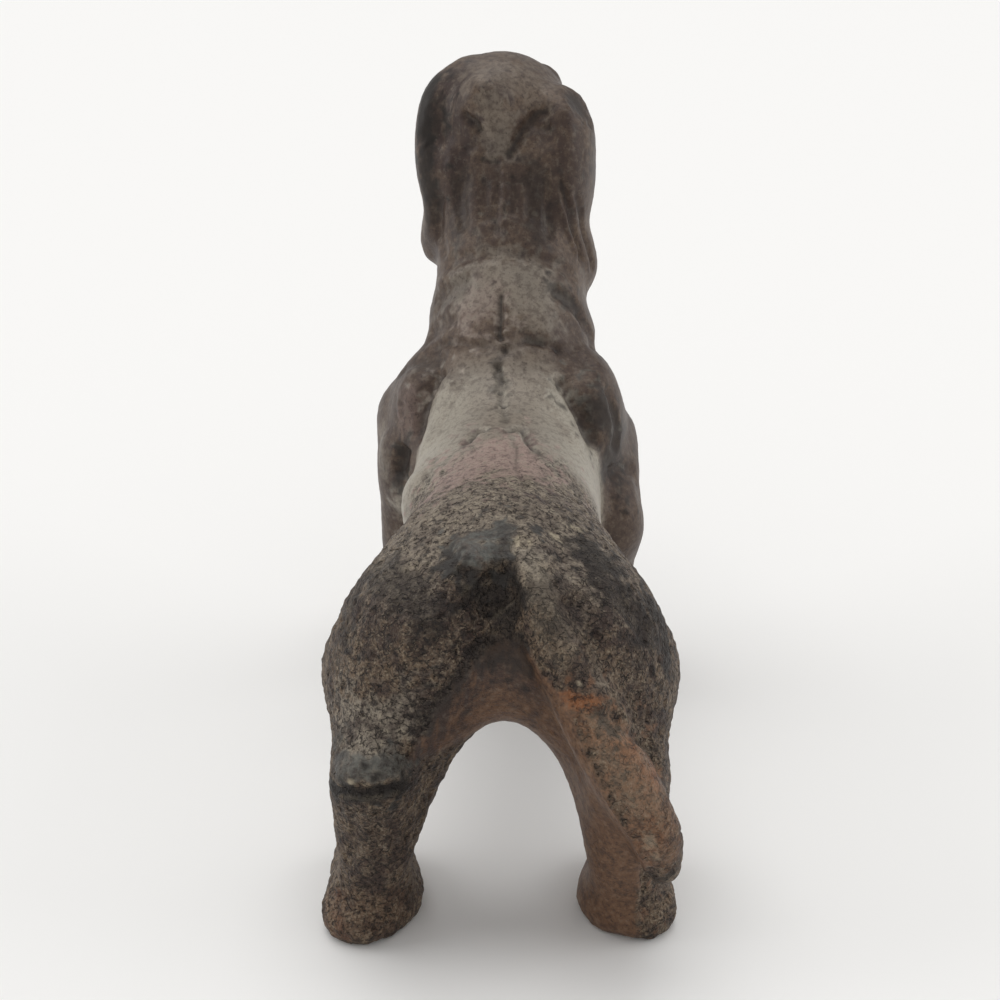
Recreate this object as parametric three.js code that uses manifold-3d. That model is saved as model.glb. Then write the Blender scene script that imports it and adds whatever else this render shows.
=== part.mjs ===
// A standing hound cast in iron as one piece. Its head is raised and turned a little to its right, its long
// ears hang against the neck, and its tail lies down the back of the right hind leg.
// Millimetres, Z up. The hound faces +Y, and its right side is +X. The origin is on the ground under the
// middle of its box.
import * as THREE from 'three';
import { MarchingCubes } from 'three/addons/objects/MarchingCubes.js';
import { mergeVertices } from 'three/addons/utils/BufferGeometryUtils.js';
import Module from 'manifold-3d';

// Driving dimensions. Every place and thickness of the figure is a percentage of one of them.
const bodyLength = 60; // middle of the hind paws to middle of the fore paws
const shoulderHeight = 50; // ground to the top of the withers
const thighWidth = 42.6; // across both thighs at their widest
const headLength = 36; // back of the skull to the nose

// Lattice that the surface is drawn from: its cells along each axis, how many there are each way, and where
// its zones start and end, in percent of the body
const trunkCell = 3.4;
const fineCell = 1.9; // along the head, the tail and the paws
const riseCell = 2.75;
const sideCell = 2.25;
const latticeCells = 66;
const latticeRear = -30;
const tailEnd = 2;
const trunkEnd = 112;
const pawTop = 16;
const trunkTop = 108;
const cellsUnderground = 3;

// Pose of the head, in degrees
const headTurn = -14; // to the hound's right
const headTilt = -4; // the crown leaning to the left
const headNod = 4; // nose down

const chestShift = 1; // the forehand stands this much to the right of the hindquarters
const earShift = 3.5; // the ears hang this much to the right of the skull's middle

const LEFT = -1;
const RIGHT = 1;

// Stance of the legs: how much further forward and out a fore leg stands, how much its elbow is lifted and
// tucked in, how much its shoulder is raised, how much a hind leg is hollowed on its inner side, and how much
// further forward its heel is
const leftFore = { stride: 4, spread: 3, lift: 6, tuck: 6, shoulder: -3 };
const rightFore = { stride: -9, spread: 0, lift: -2, tuck: 0, shoulder: 0 };
const leftHind = { hollow: 0, heel: 0 };
const rightHind = { hollow: 6, heel: 2.5 };

// Hang of the ears: how much higher their roots are, and how much longer they are
const leftEar = { root: 2, drop: 0 };
const rightEar = { root: -9, drop: 11 };

// Toes: their spacing, the depth of the grooves between them, and how far in front of the paw's middle and
// above it the grooves start, as shares of the paw's half width
const toeSpacing = 0.5;
const toeGroove = 0.13;
const grooveFront = 0.3;
const grooveFoot = -0.2;
const grooveSides = 4;
const grooveSteps = 12;

// Drawing of the surface. No lattice corner lies closer to it than the clearance, so no triangle is a sliver.
const triangleRoom = 40000; // that the drawing may take before the ground cuts it
const clearanceShare = 0.12; // of a fine cell
const probe = 0.05; // step over which the slope of the clay is taken
const evenRounds = 5; // times that the triangles are evened out
const evenShare = 0.5; // of the way to its neighbours' middle that a corner slides
const beadsPerSpan = 4; // along a roll, from one of its points to the next
const weldDistance = 1e-3;
const nothing = 1e-9; // lengths under it have no direction

// Block of ground that the paws are cut off by
const groundWidth = 400;
const groundDepth = 20;

// A place on the body: forward of the hind paws, out to the right and up, in percent.
function spot(forward, out, up) {
  return new THREE.Vector3(
    (out * thighWidth) / 200,
    (forward * bodyLength) / 100,
    (up * shoulderHeight) / 100,
  );
}

// A thickness of the body, in percent of the shoulder height.
function thick(...percent) {
  return percent.map((share) => (share * shoulderHeight) / 100);
}

// The head has its own frame at the middle of the skull, measured in percent of the head's length.
const headFrame = new THREE.Matrix4().makeRotationFromEuler(
  new THREE.Euler(
    THREE.MathUtils.degToRad(-headNod),
    THREE.MathUtils.degToRad(headTilt),
    THREE.MathUtils.degToRad(headTurn),
    'ZYX',
  ),
);
headFrame.setPosition(spot(138, -5, 155.5));

function headSpot(forward, out, up) {
  return new THREE.Vector3(out, forward, up).multiplyScalar(headLength / 100).applyMatrix4(headFrame);
}

function headThick(...percent) {
  return percent.map((share) => (share * headLength) / 100);
}

// Clay pressed into an egg shape. Its radii run along its own X, Y and Z.
class Lump {
  constructor(centre, radii, blend, frame = new THREE.Matrix4()) {
    this.centre = centre;
    this.radii = new THREE.Vector3(...radii);
    this.blend = blend;
    this.reach = Math.max(...radii);
    this.inward = new THREE.Matrix4().extractRotation(frame).setPosition(centre).invert();
    this.local = new THREE.Vector3();
    this.scaled = new THREE.Vector3();
  }

  distance(point) {
    this.local.copy(point).applyMatrix4(this.inward).divide(this.radii);
    const outness = this.local.length();
    const slope = this.scaled.copy(this.local).divide(this.radii).length();
    return slope < nothing ? -this.reach : (outness * (outness - 1)) / slope;
  }
}

// Clay rolled out along a curve, with a girth at each of the curve's points. A thin roll is pressed flat
// across the direction it is given, as an ear is.
class Roll {
  constructor(points, girths, blend, { thin = 1, across = new THREE.Vector3(1, 0, 0) } = {}) {
    const curve = new THREE.CatmullRomCurve3(points, false, 'centripetal');
    const steps = beadsPerSpan * (points.length - 1);
    this.beads = [];
    for (let i = 0; i <= steps; i++) {
      const along = (i / steps) * (points.length - 1);
      const before = Math.min(Math.floor(along), points.length - 2);
      const girth = THREE.MathUtils.lerp(girths[before], girths[before + 1], along - before);
      this.beads.push({ at: curve.getPoint(i / steps), girth });
    }
    this.blend = blend;
    this.thin = thin;
    this.across = across.clone().normalize();
    const bounds = new THREE.Box3().setFromPoints(points);
    this.centre = bounds.getCenter(new THREE.Vector3());
    this.reach = bounds.getSize(new THREE.Vector3()).length() / 2 + Math.max(...girths);
    this.step = new THREE.Vector3();
    this.offset = new THREE.Vector3();
  }

  distance(point) {
    let nearest = Infinity;
    for (let i = 0; i + 1 < this.beads.length; i++) {
      const a = this.beads[i];
      const b = this.beads[i + 1];
      this.step.subVectors(b.at, a.at);
      this.offset.subVectors(point, a.at);
      const t = THREE.MathUtils.clamp(this.offset.dot(this.step) / this.step.lengthSq(), 0, 1);
      this.offset.addScaledVector(this.step, -t);
      const girth = THREE.MathUtils.lerp(a.girth, b.girth, t);
      const round = this.offset.length();
      const pressed = this.offset.dot(this.across) * (1 / this.thin - 1);
      const flat = this.offset.addScaledVector(this.across, pressed).length();
      const gap = flat < nothing ? -girth * this.thin : ((flat - girth) * round) / flat;
      nearest = Math.min(nearest, gap);
    }
    return nearest;
  }
}

const blends = { body: 4.6, limb: 2.4, crisp: 1.1 };

// Trunk: pelvis, crotch, loin, ribs, chest, withers, neck and throat
function trunk() {
  return [
    new Lump(spot(20, 0, 77), thick(25, 28, 26), blends.body),
    new Lump(spot(13, 0, 70), thick(15, 18, 19), blends.body),
    new Lump(spot(43, 0, 77), thick(25, 36, 22), blends.body),
    new Lump(spot(70, 0, 73), thick(26, 42, 26), blends.body),
    new Lump(spot(97, 0, 69), thick(24, 30, 29), blends.body),
    new Lump(spot(110, 0, 72), thick(18, 16, 22), blends.body),
    new Lump(spot(95, 0, 87), thick(17, 24, 13), blends.body),
    new Roll(
      [spot(93, 1, 84), spot(110, 2, 104), spot(123, 1, 122), spot(134, 0, 146)],
      thick(22, 22, 21, 19),
      blends.body,
    ),
    new Roll([spot(116, 0, 78), spot(129, 0, 102), spot(141, 0, 128)], thick(17, 16, 13), blends.body),
  ];
}

// Loose skin of the neck, pushed up in folds behind the ears
function neckFolds() {
  return [
    new Lump(spot(115, -38, 107), thick(6, 10, 6), blends.limb),
    new Lump(spot(109, -38, 99), thick(6, 11, 5), blends.limb),
    new Lump(spot(113, 46, 102), thick(6, 10, 6), blends.limb),
  ];
}

// Paws are pressed low.
const low = { thin: 0.72, across: new THREE.Vector3(0, 0, 1) };

// The round front of a hind paw and of a fore paw
function hindToe(side) {
  return { place: spot(13, side * 76, 5), girth: thick(10.5)[0] };
}

function foreToe(side, { stride, spread }) {
  return { place: spot(113 + stride, side * (61 + spread) + chestShift, 6), girth: thick(10)[0] };
}

// Hind leg: haunch, buttock, thigh, inner thigh, gaskin, hock, shank and paw
function hindLeg(side, { hollow, heel }) {
  const at = (forward, out, up) => spot(forward, side * out, up);
  const toe = hindToe(side);
  return [
    new Lump(at(18, 35, 78), thick(15, 22, 16), blends.body),
    new Roll([at(4, 40, 78), at(3, 54, 62), at(-1, 64, 52)], thick(15.5, 15, 11), blends.body),
    new Roll([at(13, 50, 69), at(15, 63, 60), at(20, 68, 54)], thick(17.5, 16.5, 12), blends.body),
    new Roll(
      [at(10, 24 + hollow, 66), at(5, 48 + hollow, 48), at(0, 64 + hollow / 2, 28)],
      thick(14, 11, 8.5),
      blends.limb,
    ),
    new Roll([at(16, 66, 54), at(2, 65, 50), at(-7, 67, 47)], thick(12.5, 11, 8.6), blends.limb),
    new Lump(at(-9, 69, 48), thick(8, 7, 8), blends.limb),
    new Roll([at(-5, 70, 42), at(-3, 70, 22), at(0, 72, 10)], thick(9.8, 9, 9), blends.limb),
    new Roll(
      [at(-3 + heel, 78, 4), at(3, 72, 4), toe.place],
      [...thick(10.5, 12.4), toe.girth],
      blends.limb,
      low,
    ),
  ];
}

// Fore leg: shoulder, upper arm, elbow, forearm and paw
function foreLeg(side, { stride, spread, lift, tuck, shoulder }) {
  const at = (forward, out, up) => spot(forward, side * (out + spread) + chestShift, up);
  const toe = foreToe(side, { stride, spread });
  return [
    new Lump(at(100 + stride / 2, 50, 81 + shoulder), thick(12, 20, 23), blends.limb),
    new Roll(
      [at(107 + stride / 2, 57, 74 + lift / 2), at(93 + stride, 66 - tuck, 60 + lift)],
      thick(13.5, 10),
      blends.limb,
    ),
    new Lump(at(89 + stride, 65 - tuck, 62 + lift), thick(7.5, 8, 8.5), blends.limb),
    new Roll(
      [
        at(93 + stride, 66 - tuck, 60 + lift),
        at(97 + stride, 63, 40),
        at(98 + stride, 62, 22),
        at(99 + stride, 62, 10),
      ],
      thick(10, 9.4, 8.8, 9.4),
      blends.limb,
    ),
    new Roll(
      [at(98 + stride, 63, 7), at(106 + stride, 62, 7), toe.place],
      [...thick(9, 11), toe.girth],
      blends.limb,
    ),
  ];
}

// Tail: from a boss on the rump down over the right buttock and past the hock, cast against the leg
function tail() {
  const points = [
    spot(7, 10, 96),
    spot(0, 18, 91),
    spot(-5, 28, 83),
    spot(-9, 40, 74),
    spot(-13, 54, 62),
    spot(-15, 69, 50),
    spot(-16, 84, 38),
    spot(-14, 89, 27),
  ];
  return [
    new Lump(spot(3, -14, 95), thick(6, 8, 5), blends.limb),
    new Roll(points, thick(7, 7, 7, 7.4, 7.6, 7, 6.2, 4.4), blends.crisp),
  ];
}

// Head: skull, back of the skull, nape under the ears, muzzle, jaw and nose, then on each side the flews,
// cheek, brow and eye
function head() {
  const lumps = [
    new Lump(headSpot(0, 0, 3), headThick(27, 31, 26), blends.limb, headFrame),
    new Lump(headSpot(-22, 0, 10), headThick(12, 12, 14), blends.crisp, headFrame),
    new Lump(headSpot(-17, earShift, -24), headThick(23, 15, 30), blends.limb, headFrame),
    new Roll(
      [headSpot(10, 0, -6), headSpot(36, 0, -9), headSpot(56, 0, -10)],
      headThick(21, 17, 15),
      blends.limb,
    ),
    new Roll([headSpot(10, 0, -20), headSpot(48, 0, -29)], headThick(15, 10), blends.limb),
    new Lump(headSpot(66, 0, -2), headThick(8, 6.5, 6.5), blends.limb, headFrame),
  ];
  for (const side of [LEFT, RIGHT]) {
    lumps.push(
      new Lump(headSpot(46, side * 9, -21), headThick(9.5, 23, 18), blends.crisp, headFrame),
      new Lump(headSpot(11, side * 17, -10), headThick(11, 17, 17), blends.limb, headFrame),
      new Lump(headSpot(20, side * 12, 13), headThick(8, 9, 6), blends.limb, headFrame),
      new Lump(headSpot(26, side * 14.5, 6), headThick(4.5, 4.5, 4), blends.crisp, headFrame),
    );
  }
  return lumps;
}

// Ear: a thick flap hung from high on the skull, laid against the neck, narrower above its round tip, with two
// pleats down its back edge
function ear(side, { root, drop }) {
  const at = (forward, out, up) => headSpot(forward, side * out + earShift, up);
  const flap = [
    at(-6, 15, 14 + root),
    at(-8, 26.5, 2 + root / 2),
    at(-10, 27.5, -14 - drop / 3),
    at(-11.5, 25.5, -29 - drop),
    at(-12, 31, -43 - drop),
  ];
  const pleat = (forward, out) => [
    at(forward, out, -8),
    at(forward - 1, out - 1, -32),
    at(forward + 4, out, -50 - drop),
  ];
  const across = new THREE.Vector3(1, 0, 0).transformDirection(headFrame);
  return [
    new Roll(flap, headThick(13, 18, 19, 16, 12), blends.crisp, { thin: 0.46, across }),
    new Roll(pleat(-24, 27), headThick(5, 5, 4), blends.crisp),
    new Roll(pleat(-28, 18), headThick(4.5, 4.5, 3.6), blends.crisp),
  ];
}

const clay = [
  ...trunk(),
  ...neckFolds(),
  ...hindLeg(LEFT, leftHind),
  ...hindLeg(RIGHT, rightHind),
  ...foreLeg(LEFT, leftFore),
  ...foreLeg(RIGHT, rightFore),
  ...tail(),
  ...head(),
  ...ear(LEFT, leftEar),
  ...ear(RIGHT, rightEar),
];

// Scooped out of the clay: the hollow under the root of the tail and the eye sockets
const scoops = [new Lump(spot(-10, 2, 86), thick(3.5, 9, 9), blends.crisp)];
for (const side of [LEFT, RIGHT]) {
  scoops.push(new Lump(headSpot(36, side * 15, 8), headThick(5, 7, 5), blends.limb, headFrame));
}

// Distance from a point to the modelled clay, less than nothing inside it. Each shape runs into those
// before it with a fillet of its own blend.
function clayDistance(point) {
  let distance = Infinity;
  for (const shape of clay) {
    if (point.distanceTo(shape.centre) - shape.reach > distance + shape.blend) continue;
    const own = shape.distance(point);
    const fillet = Math.max(shape.blend - Math.abs(distance - own), 0) / shape.blend;
    distance = Math.min(distance, own) - (fillet * fillet * shape.blend) / 4;
  }
  for (const scoop of scoops) {
    const own = -scoop.distance(point);
    const fillet = Math.max(scoop.blend - Math.abs(distance - own), 0) / scoop.blend;
    distance = Math.max(distance, own) + (fillet * fillet * scoop.blend) / 4;
  }
  return distance;
}

// Places of the lattice's planes along one axis: each zone runs to its end in steps of its cell.
function latticeAxis(start, zones, count) {
  const planes = [start];
  while (planes.length < count) {
    const last = planes[planes.length - 1];
    const zone = zones.find(({ end }) => last < end) ?? zones[zones.length - 1];
    planes.push(last + zone.cell);
  }
  return planes;
}

// The surface of the clay, drawn by marching cubes over a lattice that is finer about the head
function drawSurface() {
  const count = latticeCells;
  const side = (count / 2) * sideCell;
  const axes = [
    latticeAxis(-side, [{ end: side, cell: sideCell }], count),
    latticeAxis(
      spot(latticeRear, 0, 0).y,
      [
        { end: spot(tailEnd, 0, 0).y, cell: fineCell },
        { end: spot(trunkEnd, 0, 0).y, cell: trunkCell },
        { end: Infinity, cell: fineCell },
      ],
      count,
    ),
    latticeAxis(
      -cellsUnderground * fineCell,
      [
        { end: spot(0, 0, pawTop).z, cell: fineCell },
        { end: spot(0, 0, trunkTop).z, cell: riseCell },
        { end: Infinity, cell: fineCell },
      ],
      count,
    ),
  ];
  const cubes = new MarchingCubes(count, undefined, false, false, triangleRoom);
  const clearance = clearanceShare * fineCell;
  const point = new THREE.Vector3();
  for (let k = 0; k < count; k++) {
    for (let j = 0; j < count; j++) {
      for (let i = 0; i < count; i++) {
        const depth = -clayDistance(point.set(axes[0][i], axes[1][j], axes[2][k]));
        const kept = Math.sign(depth || 1) * Math.max(Math.abs(depth), clearance);
        cubes.field[i + count * (j + count * k)] = cubes.isolation + kept;
      }
    }
  }
  cubes.update();
  const drawn = new THREE.BufferGeometry();
  const places = cubes.geometry.getAttribute('position').array.slice(0, cubes.count * 3);
  for (let n = 0; n < places.length; n++) {
    const axis = axes[n % 3];
    const plane = places[n] * cubes.halfsize + cubes.halfsize;
    const before = Math.floor(plane);
    places[n] = THREE.MathUtils.lerp(axis[before], axis[before + 1], plane - before);
  }
  drawn.setAttribute('position', new THREE.BufferAttribute(places, 3));
  return mergeVertices(drawn, weldDistance);
}

// Direction in which the clay falls away at a point
function outward(point, direction) {
  const near = new THREE.Vector3();
  for (const axis of ['x', 'y', 'z']) {
    near.copy(point)[axis] += probe;
    const ahead = clayDistance(near);
    near[axis] -= 2 * probe;
    direction[axis] = ahead - clayDistance(near);
  }
  return direction.normalize();
}

// Evens out the triangles: each corner slides towards the middle of its neighbours and back to the surface.
function evenOut(geometry, rounds) {
  const place = geometry.getAttribute('position');
  const corners = geometry.index.array;
  const neighbours = Array.from({ length: place.count }, () => new Set());
  for (let n = 0; n < corners.length; n += 3) {
    for (let c = 0; c < 3; c++) {
      neighbours[corners[n + c]].add(corners[n + ((c + 1) % 3)]);
      neighbours[corners[n + c]].add(corners[n + ((c + 2) % 3)]);
    }
  }
  const here = new THREE.Vector3();
  const middle = new THREE.Vector3();
  const there = new THREE.Vector3();
  const normal = new THREE.Vector3();
  for (let round = 0; round < rounds; round++) {
    const moved = new Float32Array(place.array.length);
    for (let v = 0; v < place.count; v++) {
      here.fromBufferAttribute(place, v);
      middle.set(0, 0, 0);
      neighbours[v].forEach((n) => middle.add(there.fromBufferAttribute(place, n)));
      here.lerp(middle.divideScalar(neighbours[v].size), evenShare);
      here.addScaledVector(outward(here, normal), -clayDistance(here));
      here.toArray(moved, 3 * v);
    }
    place.array.set(moved);
  }
  return geometry;
}

const wasm = await Module();
wasm.setup();

// A closed geometry as a solid for joining and cutting, and a solid back as a geometry
function toSolid(geometry) {
  const bare = new THREE.BufferGeometry().setAttribute('position', geometry.getAttribute('position'));
  bare.setIndex(geometry.index);
  const merged = mergeVertices(bare, weldDistance);
  return new wasm.Manifold(
    new wasm.Mesh({
      numProp: 3,
      vertProperties: new Float32Array(merged.getAttribute('position').array),
      triVerts: new Uint32Array(merged.index.array),
    }),
  );
}

function toGeometry(solid) {
  const mesh = solid.getMesh();
  const geometry = new THREE.BufferGeometry();
  geometry.setAttribute('position', new THREE.BufferAttribute(new Float32Array(mesh.vertProperties), 3));
  geometry.setIndex(new THREE.BufferAttribute(new Uint32Array(mesh.triVerts), 1));
  return geometry;
}

// The ground cuts the paws off flat.
function ground() {
  const slab = new THREE.BoxGeometry(groundWidth, groundWidth, groundDepth);
  slab.translate(0, 0, -groundDepth / 2);
  return toSolid(slab);
}

// Grooves between the toes of one paw: arcs of diamond section laid over its round front
function toeGrooves({ place, girth }) {
  const spacing = girth * toeSpacing;
  const front = new THREE.BoxGeometry(3 * girth, 2 * girth, 2 * girth);
  front.translate(place.x, place.y + (1 + grooveFront) * girth, place.z + (1 + grooveFoot) * girth);
  return [-spacing, 0, spacing].map((out) => {
    const round = Math.sqrt(girth * girth - out * out);
    const arc = new THREE.TorusGeometry(round, girth * toeGroove, grooveSides, grooveSteps);
    arc.rotateY(Math.PI / 2);
    arc.translate(place.x + out, place.y, place.z);
    return toSolid(arc).intersect(toSolid(front));
  });
}

let cast = toSolid(evenOut(drawSurface(), evenRounds)).subtract(ground());
for (const [side, fore] of [[LEFT, leftFore], [RIGHT, rightFore]]) {
  for (const groove of [...toeGrooves(hindToe(side)), ...toeGrooves(foreToe(side, fore))]) {
    cast = cast.subtract(groove);
  }
}

const figure = toGeometry(cast);
figure.computeBoundingBox();
const middle = figure.boundingBox.getCenter(new THREE.Vector3());
figure.translate(-middle.x, -middle.y, 0);
figure.computeVertexNormals();

const brownedIron = new THREE.MeshStandardMaterial({ color: 0x5a4c42, roughness: 0.75, metalness: 0.3 });
const hound = new THREE.Mesh(figure, brownedIron);
hound.name = 'hound';

const model = new THREE.Group();
model.add(hound);

export default model;
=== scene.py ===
"""A small cast iron hound, worked up from its plain solid: the casting's skin is carved and given its
old brown finish. Metres, Z up. The hound faces +Y, and its right side is +X."""
import math

import bmesh
import bpy
import numpy as np
from bpy.props import FloatProperty, FloatVectorProperty, IntProperty, PointerProperty
from mathutils import Euler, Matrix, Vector, noise
from mathutils.bvhtree import BVHTree


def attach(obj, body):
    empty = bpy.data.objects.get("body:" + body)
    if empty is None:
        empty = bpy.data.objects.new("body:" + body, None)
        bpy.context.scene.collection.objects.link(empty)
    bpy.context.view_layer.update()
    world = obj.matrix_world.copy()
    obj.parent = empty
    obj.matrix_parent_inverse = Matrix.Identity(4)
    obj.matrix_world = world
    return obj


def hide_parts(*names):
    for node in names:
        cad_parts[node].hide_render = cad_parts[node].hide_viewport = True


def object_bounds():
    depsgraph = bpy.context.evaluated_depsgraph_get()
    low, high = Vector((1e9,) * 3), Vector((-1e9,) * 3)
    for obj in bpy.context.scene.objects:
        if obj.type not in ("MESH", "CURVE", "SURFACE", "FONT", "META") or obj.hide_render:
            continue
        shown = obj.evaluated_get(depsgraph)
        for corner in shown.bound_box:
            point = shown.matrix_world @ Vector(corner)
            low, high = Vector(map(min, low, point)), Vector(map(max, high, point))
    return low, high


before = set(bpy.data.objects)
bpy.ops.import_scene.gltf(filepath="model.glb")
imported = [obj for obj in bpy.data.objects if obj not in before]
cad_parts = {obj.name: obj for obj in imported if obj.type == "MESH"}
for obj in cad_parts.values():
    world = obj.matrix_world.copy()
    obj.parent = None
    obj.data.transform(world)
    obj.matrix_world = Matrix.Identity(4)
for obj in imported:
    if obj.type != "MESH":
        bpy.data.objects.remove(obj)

bl_info = {
    "name": "Cast Iron Hound",
    "version": (1, 0, 0),
    "blender": (4, 5, 0),
    "location": "View3D > Sidebar > Hound",
    "description": "Carves and finishes a small cast iron hound",
    "category": "Add Mesh",
}

CAD_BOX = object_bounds()
MM = 0.001

# The studio view: from behind and above, some 25 cm away. Marks that the view shows are laid out on it, in
# pixels of a square picture 1000 wide, and are carved where the line of sight meets the casting.
VIEW_PLACE = Vector((3.0, -225.4, 141.3))
VIEW_PITCH = math.radians(25.5)
VIEW_YAW = math.radians(0.97)
VIEW_WIDTH = 1000
SENSOR_WIDTH = 36.0
LENS = 64.8

# How far in from a pixel the casting is looked for, where the view misses it
SEARCH_REACH = 30
SEARCH_STEP = 2

# The head's own frame: its middle in millimetres, its turn, and its length, back of the skull to the nose
HEAD_MIDDLE = Vector((-1.1, 35.1, 77.8))
HEAD_TURN = Euler((math.radians(-4), math.radians(-4), math.radians(-14)), "XYZ")
HEAD_LENGTH = 36.0
LEFT, RIGHT = -1, 1

# Where the gritty skin ends at the smooth inner faces of the hind legs, from the top down
LEFT_INNER_EDGE = ((504, 634), (478, 656), (457, 683), (438, 704), (426, 730), (411, 756), (404, 778))
RIGHT_INNER_EDGE = (
    (516, 628), (529, 648), (545, 676), (558, 688), (569, 697), (583, 738), (605, 790), (634, 838),
    (650, 866), (640, 885), (637, 905), (637, 930),
)

# Where the flanks end and the shoulders begin, from the top down
LEFT_FLANK_EDGE = ((449, 362), (438, 382), (429, 402), (424, 424), (420, 448))
RIGHT_FLANK_EDGE = ((548, 354), (560, 388), (571, 410), (583, 430), (595, 454))

# The middle of the back, where the grit of the loin starts and where the withers are
LOIN = (500, 442)
WITHERS = (500, 346)

# Strokes carved into the casting: how wide and how deep they are, in millimetres, and the line of pixels on
# which the view shows them. A depth less than nothing raises a ridge. A spot has its radius, its height and
# its pixel, and a height less than nothing makes it a hollow.
BACK_STROKES = {
    "parting line on the neck": (0.9, 0.7, ((502, 288), (500, 302), (501, 318), (499, 334), (503, 343))),
    "parting line on the back": (0.9, 0.45, ((498, 362), (497, 372), (501, 386), (502, 400), (505, 426))),
    "left half of the crease of the withers": (1.2, 0.55, ((424, 352), (445, 343), (470, 345), (496, 348))),
    "right half of the crease of the withers": (1.1, 0.5, ((512, 346), (530, 340), (548, 345), (566, 352))),
    "left scapula's edge": (2.0, 0.8, ((447, 366), (435, 384), (426, 402), (421, 424), (417, 448))),
    "right scapula's edge": (2.0, 0.9, ((552, 372), (563, 392), (574, 410), (586, 430), (598, 454))),
    "left ribs": (3.2, -0.7, ((456, 372), (446, 392), (438, 414), (430, 436), (424, 456))),
    "right ribs": (3.2, -0.7, ((543, 368), (553, 388), (564, 410), (573, 434), (580, 456))),
    "left scapula's top": (2.0, 0.5, ((394, 376), (410, 364), (432, 358), (447, 362))),
    "right scapula's top": (2.0, 0.5, ((553, 352), (575, 352), (597, 372))),
    "left fold under the ear": (2.4, 0.5, ((434, 306), (444, 296), (458, 288), (474, 284))),
    "left ridge of the neck": (1.8, -0.35, ((438, 286), (452, 277), (470, 269))),
    "left fold of the neck": (2.2, 0.5, ((424, 338), (440, 326), (462, 318))),
    "right fold under the ear": (2.0, 0.7, ((550, 288), (564, 297), (576, 308), (586, 322))),
    "right fold of the neck": (1.8, 0.5, ((515, 328), (532, 338), (548, 341))),
    "right edge of the neck": (1.8, 0.5, ((578, 314), (592, 336), (600, 354))),
    "wrinkle on the left shoulder": (1.2, 0.3, ((400, 400), (416, 412), (430, 410))),
    "wrinkle on the right shoulder": (1.6, 0.6, ((602, 384), (612, 404), (618, 430), (612, 456))),
    "right arm's lower edge": (1.6, 0.5, ((606, 474), (620, 468), (636, 470))),
    "left cavity of the arm": (2.0, 1.1, ((405, 444), (402, 460), (398, 478))),
}
RUMP_STROKES = {
    "left half of the broken edge": (1.0, 0.8, ((464, 446), (470, 438), (477, 431), (489, 430))),
    "right half of the broken edge": (
        1.0, 0.75, ((505, 432), (514, 429), (523, 429), (529, 442), (540, 455)),
    ),
    "crack beside the loin": (0.9, 0.4, ((512, 432), (517, 448), (516, 466), (524, 480), (528, 494))),
    "patch's left edge": (1.2, 0.45, ((442, 536), (449, 552), (458, 565))),
    "patch's lower edge": (1.4, 0.6, ((456, 567), (470, 576), (486, 575), (500, 568))),
    "patch's first streak": (0.6, 0.2, ((452, 534), (462, 562))),
    "patch's second streak": (0.6, 0.2, ((462, 531), (474, 566))),
    "patch's third streak": (0.6, 0.18, ((474, 530), (486, 562))),
    "cleft beside the tail's root": (2.2, 0.7, ((498, 562), (508, 580), (516, 600), (512, 622))),
    "hollow under the patch": (4.0, 0.7, ((474, 582), (490, 596), (503, 612))),
    "step down the rump": (1.3, 0.35, ((521, 500), (516, 522), (512, 545), (508, 562))),
    "tail's root": (4.2, -0.6, ((520, 540), (530, 575), (544, 610), (560, 645), (578, 676))),
    "cleft right of the tail's root": (3.0, 0.6, ((566, 590), (580, 618), (592, 650), (604, 690))),
    "crease over the left thigh": (2.2, 0.45, ((402, 566), (416, 590), (424, 618))),
    "crease over the right thigh": (2.4, 0.5, ((612, 588), (632, 612), (650, 634))),
}
TRUNK_SPOTS = {
    "deep pit of the broken edge": (1.0, -0.6, (537, 450)),
    "pit of the crease of the withers": (1.1, -0.6, (505, 350)),
    "upper knob of the parting line": (0.8, 0.35, (506, 332)),
    "lower knob of the parting line": (0.8, 0.35, (506, 344)),
    "first pit of the back": (0.9, -0.4, (499, 368)),
    "second pit of the back": (0.9, -0.35, (503, 380)),
    "third pit of the back": (0.8, -0.35, (500, 392)),
    "fourth pit of the back": (0.8, -0.35, (504, 405)),
    "worn patch": (4.6, 0.45, (476, 544)),
    "left scapula": (5.0, 0.7, (412, 388)),
    "left elbow": (3.6, 0.6, (388, 446)),
    "left of the belly": (6.0, 1.3, (414, 490)),
    "right scapula": (4.5, 0.5, (594, 392)),
    "right elbow": (4.5, 0.7, (624, 492)),
}
LEG_STROKES = {
    "under the worn band": (1.1, 0.6, ((330, 786), (346, 789), (363, 791), (384, 789), (404, 781))),
    "over the worn band": (2.4, -0.35, ((334, 770), (356, 774), (380, 773), (402, 766))),
    "streak on the left shank": (1.0, 0.25, ((352, 800), (354, 836), (350, 872))),
    "second streak on the left shank": (1.0, 0.25, ((378, 800), (376, 840), (382, 880))),
    "third streak on the left shank": (0.8, 0.2, ((396, 800), (394, 834), (398, 862))),
    "tail's left edge": (0.7, -0.2, ((571, 700), (583, 738), (605, 790), (634, 838), (652, 868))),
    "tail's facet": (0.8, -0.25, ((572, 698), (592, 722), (612, 758), (632, 800), (648, 836))),
    "tail's right edge": (1.5, 0.6, ((606, 700), (626, 730), (650, 748), (664, 786))),
    "notch over the tail": (1.2, 0.5, ((602, 712), (612, 728), (622, 734))),
    "back corner of the right shank": (0.9, -0.3, ((640, 884), (637, 905), (637, 930))),
}
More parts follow.
